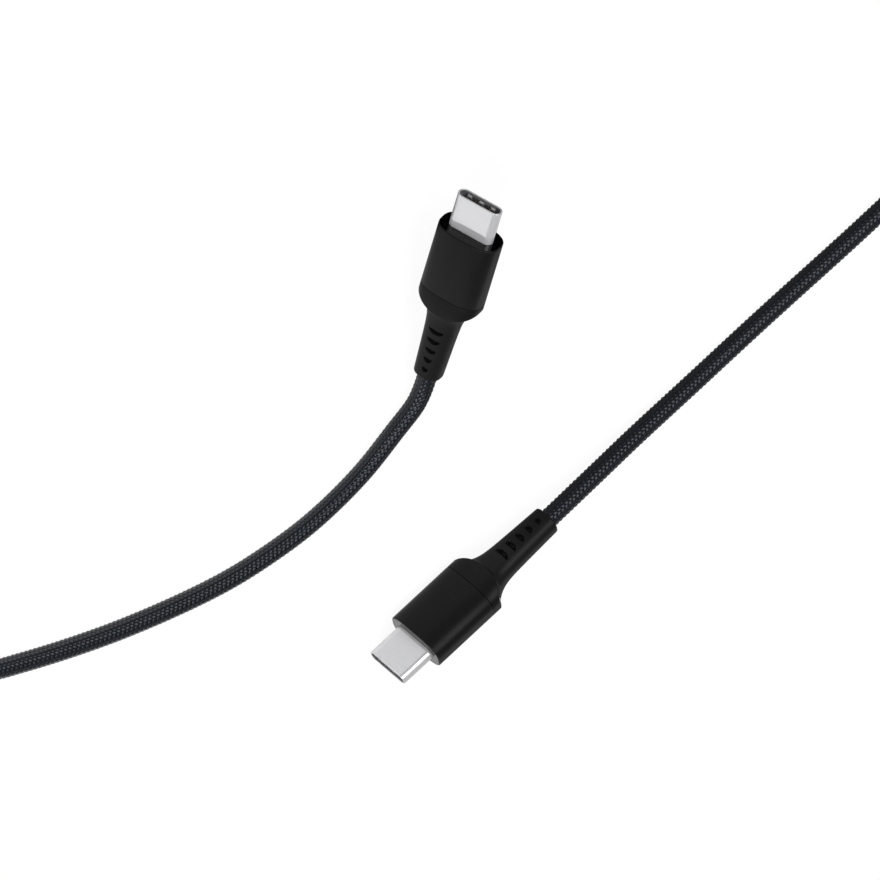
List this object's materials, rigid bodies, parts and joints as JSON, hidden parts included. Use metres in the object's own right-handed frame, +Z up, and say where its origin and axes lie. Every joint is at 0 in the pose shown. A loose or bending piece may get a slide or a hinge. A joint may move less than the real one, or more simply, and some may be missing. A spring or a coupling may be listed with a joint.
{
  "type": "charging cable",
  "caption": "Flexible braided cable that carries power and data between devices, with a reversible metal-shelled plug at each end.",
  "frame": {"origin": "on the table under the middle of the box round the two plugs", "axes": "+Z up from the table, +X along the longer side of the box round the two plugs"},
  "size_m": [0.1645, 0.2115, 0.0148],
  "materials": {
    "steel_shell": "bright drawn steel with a nickel plating",
    "gloss_plastic": "polished black moulding",
    "housing_paint": "black satin anodised look",
    "rubber": "black satin elastomer",
    "insulator": "black moulding",
    "spring_steel": "bright spring steel",
    "gold_contact": "gold plated contact",
    "circuit_board": "green solder resist",
    "chip": "black moulded package",
    "copper_can": "drawn copper alloy sheet",
    "inner_mould": "natural moulding",
    "braid": "woven blue-black yarn",
    "wire_red": "red insulation",
    "wire_black": "black insulation",
    "wire_green": "green insulation",
    "wire_white": "white insulation",
    "strap": "black hook-and-loop tape"
  },
  "bodies": {
    "root": {"plug_a_shell": "steel_shell", "plug_a_insulator": "insulator", "plug_a_contact_ground_left": "gold_contact", "plug_a_contact_ground_right": "gold_contact", "plug_a_contact_power_left": "gold_contact", "plug_a_contact_power_right": "gold_contact", "plug_a_contact_channel": "gold_contact", "plug_a_contact_data_plus": "gold_contact", "plug_a_contact_data_minus": "gold_contact", "plug_a_contact_chip_power": "gold_contact", "plug_a_mouth_spring_upper": "spring_steel", "plug_a_mouth_spring_lower": "spring_steel", "plug_a_latch_spring": "spring_steel", "plug_a_circuit_card": "circuit_board", "plug_a_marker_chip": "chip", "plug_a_shield_can": "copper_can", "plug_a_inner_mould": "inner_mould", "plug_a_front_plate": "gloss_plastic", "plug_a_sleeve": "housing_paint", "plug_a_collar": "housing_paint", "plug_a_boot": "rubber", "plug_a_ferrule": "spring_steel", "plug_a_cord_tail": "braid", "plug_a_wire_power": "wire_red", "plug_a_wire_ground": "wire_black", "plug_a_wire_data_plus": "wire_green", "plug_a_wire_data_minus": "wire_white", "plug_b_shell": "steel_shell", "plug_b_insulator": "insulator", "plug_b_contact_ground_left": "gold_contact", "plug_b_contact_ground_right": "gold_contact", "plug_b_contact_power_left": "gold_contact", "plug_b_contact_power_right": "gold_contact", "plug_b_contact_channel": "gold_contact", "plug_b_contact_data_plus": "gold_contact", "plug_b_contact_data_minus": "gold_contact", "plug_b_contact_chip_power": "gold_contact", "plug_b_mouth_spring_upper": "spring_steel", "plug_b_mouth_spring_lower": "spring_steel", "plug_b_latch_spring": "spring_steel", "plug_b_circuit_card": "circuit_board", "plug_b_marker_chip": "chip", "plug_b_shield_can": "copper_can", "plug_b_inner_mould": "inner_mould", "plug_b_front_plate": "gloss_plastic", "plug_b_sleeve": "housing_paint", "plug_b_collar": "housing_paint", "plug_b_boot": "rubber", "plug_b_ferrule": "spring_steel", "plug_b_cord_tail": "braid", "plug_b_wire_power": "wire_red", "plug_b_wire_ground": "wire_black", "plug_b_wire_data_plus": "wire_green", "plug_b_wire_data_minus": "wire_white", "cord_stretch_a": "braid", "cord_coil": "braid", "cord_stretch_b": "braid", "coil_tie": "strap"}
  },
  "joints": []
}
